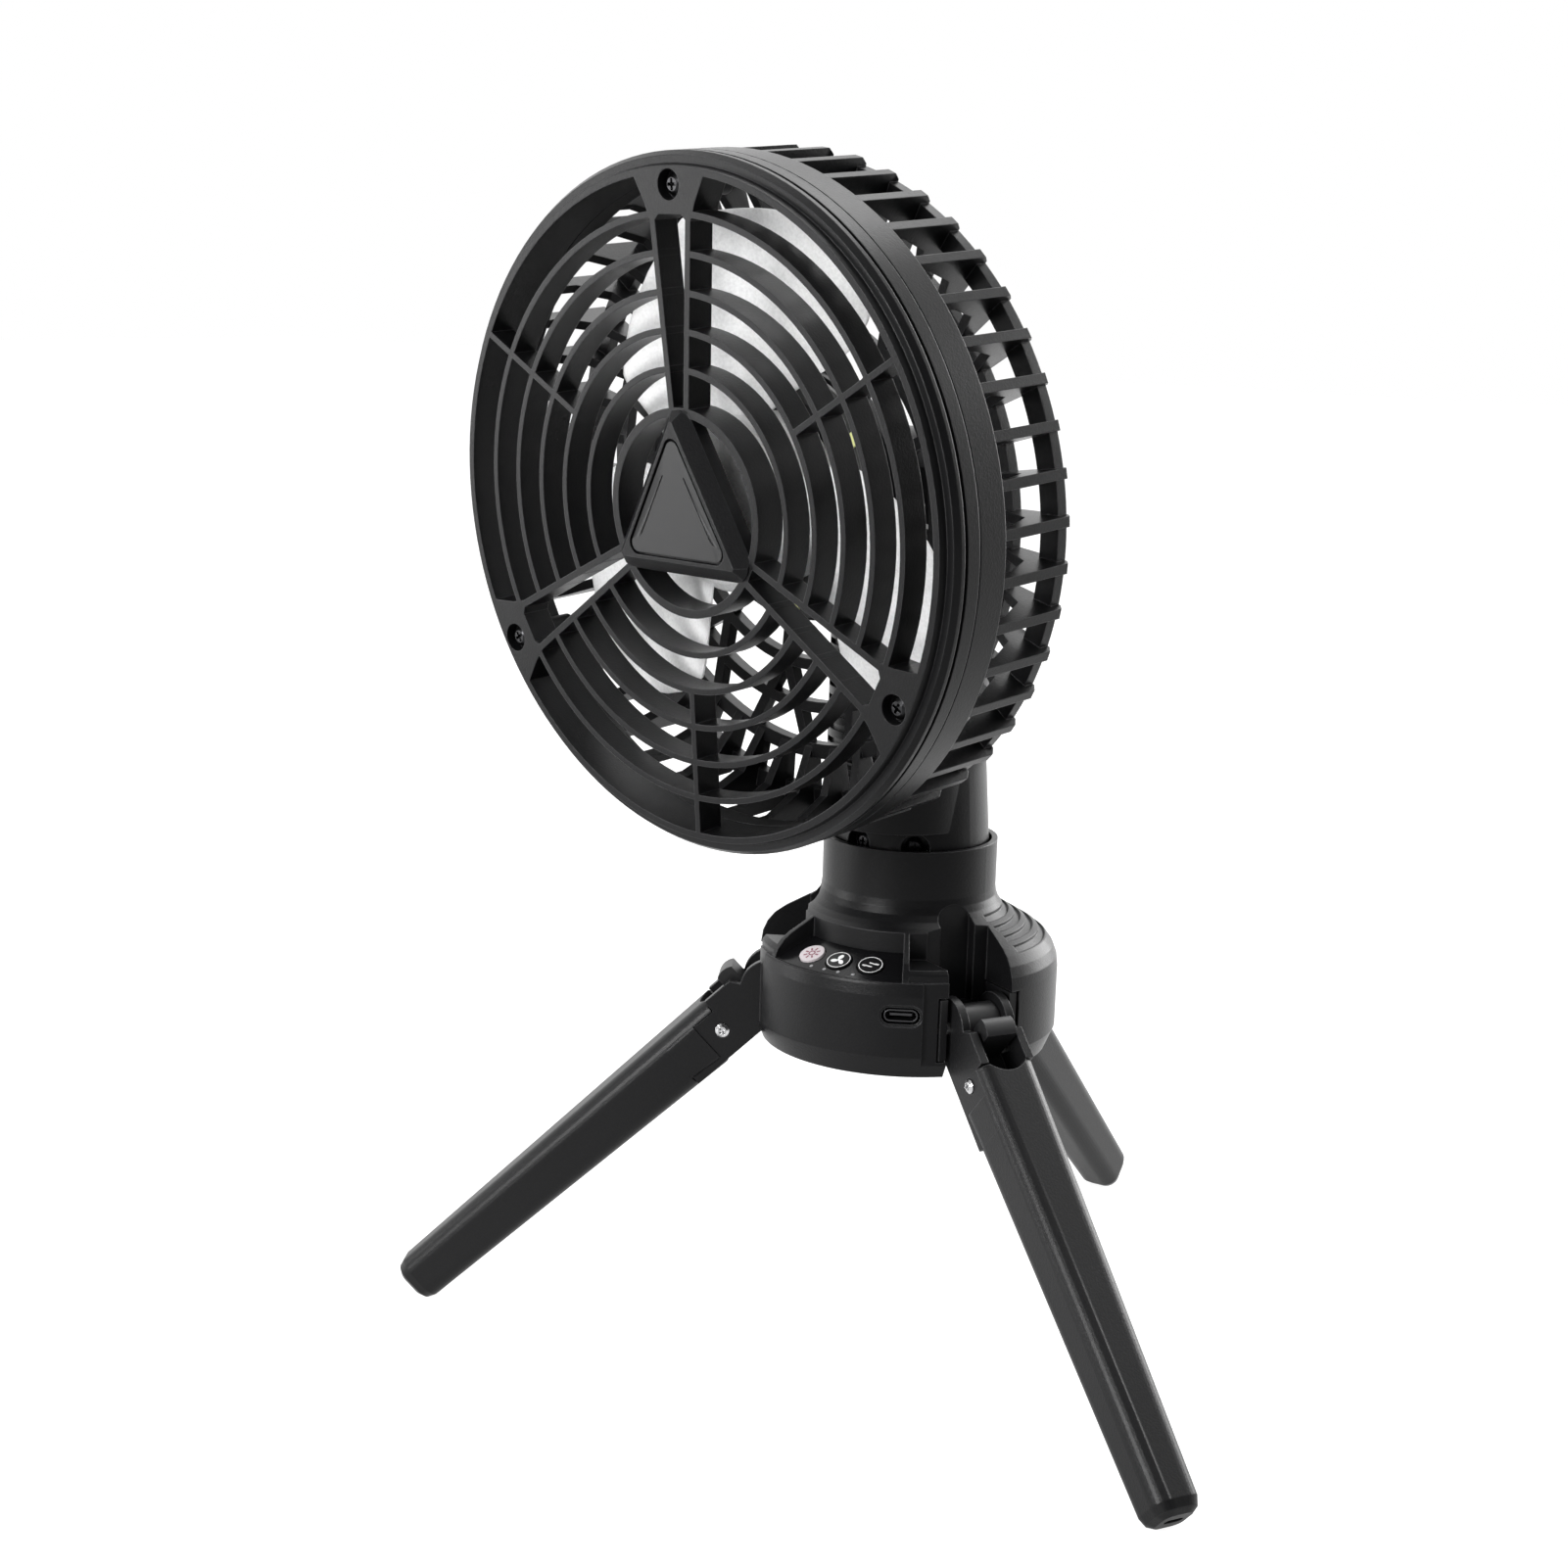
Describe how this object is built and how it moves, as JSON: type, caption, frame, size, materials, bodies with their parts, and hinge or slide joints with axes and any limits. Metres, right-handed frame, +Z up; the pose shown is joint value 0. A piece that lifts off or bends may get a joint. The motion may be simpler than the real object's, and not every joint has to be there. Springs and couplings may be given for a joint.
{
  "type": "portable camping fan",
  "caption": "Portable tabletop fan: round grilled head that tilts on a swinging battery neck, above a round control base on folding legs.",
  "frame": {"origin": "centre of the base underside, on the axis that the neck swings about", "axes": "+Z up along the swing axis, -Y towards the control panel, +X to the right as the panel is read; the legs are open, so their tips lie below the origin, and the head is turned and tipped as in the picture"},
  "size_m": [0.2546, 0.2521, 0.3309],
  "materials": {
    "badge_gloss": "satin black plate",
    "black_screw": "black oxide steel",
    "blade_plastic": "milky translucent moulding",
    "board": "green circuit board",
    "bright_screw": "bright plated steel",
    "bush_plastic": "natural nylon",
    "cell_wrap": "shrink-wrapped cell",
    "dark_button": "black button cap",
    "dark_plastic": "plain black moulding",
    "housing_plastic": "fine-grained charcoal moulding",
    "lamp_board": "dark circuit board",
    "lamp_chip": "yellow-green phosphor",
    "light_button": "pale button cap",
    "light_pipe": "grey light pipe",
    "motor_metal": "plain metal can",
    "panel_gloss": "glossy black cover sheet",
    "steel": "plain steel",
    "winding": "enamelled copper on a steel core"
  },
  "bodies": {
    "base": {"base_housing": "housing_plastic", "bottom_cover": "housing_plastic", "cover_screws": "steel", "swing_motor": "motor_metal", "swing_bush": "bush_plastic", "control_panel": "panel_gloss", "level_lights": "light_pipe", "control_board": "board", "usb_socket": "steel", "hinge_blocks": "dark_plastic", "hinge_pins": "steel"},
    "neck": {"neck_shell": "housing_plastic", "neck_foot": "dark_plastic", "foot_screws": "black_screw", "tilt_pin": "steel", "battery_cells": "cell_wrap", "battery_holder": "dark_plastic", "swing_shaft": "steel"},
    "head": {"front_grille": "housing_plastic", "hub_badge": "badge_gloss", "grille_screws": "black_screw", "rear_cage": "housing_plastic", "motor_plate": "dark_plastic", "motor_stator": "winding", "motor_bearings": "steel", "led_board": "lamp_board", "led_chips": "lamp_chip", "rear_housing": "housing_plastic", "housing_screws": "steel", "tilt_arm": "housing_plastic"},
    "rotor": {"fan_blades": "blade_plastic", "rotor_can": "steel", "motor_shaft": "steel", "shaft_nut": "blade_plastic"},
    "leg_left": {"leg_left": "housing_plastic", "leg_bracket_left": "housing_plastic", "leg_screws_left": "bright_screw"},
    "latch_left": {"leg_latch_left": "dark_plastic"},
    "leg_right": {"leg_right": "housing_plastic", "leg_bracket_right": "housing_plastic", "leg_screws_right": "bright_screw"},
    "latch_right": {"leg_latch_right": "dark_plastic"},
    "leg_rear": {"leg_rear": "housing_plastic", "leg_bracket_rear": "housing_plastic", "leg_screws_rear": "bright_screw"},
    "latch_rear": {"leg_latch_rear": "dark_plastic"},
    "button_light": {"button_light": "light_button"},
    "button_fan": {"button_fan": "dark_button"},
    "button_swing": {"button_swing": "dark_button"}
  },
  "joints": [
    {"name": "swing", "type": "hinge", "parent": "base", "child": "neck", "pos_m": [0, 0, 0.04], "axis": [0, 0, 1], "range_deg": [-33.7, 56.3]},
    {"name": "tilt", "type": "hinge", "parent": "neck", "child": "head", "pos_m": [0, 0, 0.1613], "axis": [0.9806, -0.1959, 0], "range_deg": [-50.3, 4.7]},
    {"name": "spin", "type": "hinge", "parent": "head", "child": "rotor", "pos_m": [-0.01366, -0.06835, 0.15483], "axis": [-0.1951, -0.9764, -0.0924], "continuous": true},
    {"name": "fold_left", "type": "hinge", "parent": "base", "child": "leg_left", "pos_m": [-0.03291, -0.019, 0.0134], "axis": [0.5, -0.866, 0], "range_deg": [-90, 0]},
    {"name": "fold_right", "type": "hinge", "parent": "base", "child": "leg_right", "pos_m": [0.03291, -0.019, 0.0134], "axis": [0.5, 0.866, 0], "range_deg": [-133.56, 0]},
    {"name": "fold_rear", "type": "hinge", "parent": "base", "child": "leg_rear", "pos_m": [0, 0.038, 0.0134], "axis": [-1, 0, 0], "range_deg": [-133.56, 0]},
    {"name": "release_left", "type": "slide", "parent": "leg_left", "child": "latch_left", "axis": [-0.6276, -0.3623, -0.6891], "range_m": [0, 0.005], "stiffness_N_per_m": 300, "springref_m": -0.003},
    {"name": "release_right", "type": "slide", "parent": "leg_right", "child": "latch_right", "axis": [0.6276, -0.3623, -0.6891], "range_m": [0, 0.005], "stiffness_N_per_m": 300, "springref_m": -0.003},
    {"name": "release_rear", "type": "slide", "parent": "leg_rear", "child": "latch_rear", "axis": [0, 0.7247, -0.6891], "range_m": [0, 0.005], "stiffness_N_per_m": 300, "springref_m": -0.003},
    {"name": "press_light", "type": "slide", "parent": "base", "child": "button_light", "axis": [0.1053, 0.3929, -0.9135], "range_m": [0, 0.0008], "stiffness_N_per_m": 800, "springref_m": -0.0005},
    {"name": "press_fan", "type": "slide", "parent": "base", "child": "button_fan", "axis": [0, 0.4067, -0.9135], "range_m": [0, 0.0008], "stiffness_N_per_m": 800, "springref_m": -0.0005},
    {"name": "press_swing", "type": "slide", "parent": "base", "child": "button_swing", "axis": [-0.1053, 0.3929, -0.9135], "range_m": [0, 0.0008], "stiffness_N_per_m": 800, "springref_m": -0.0005}
  ]
}
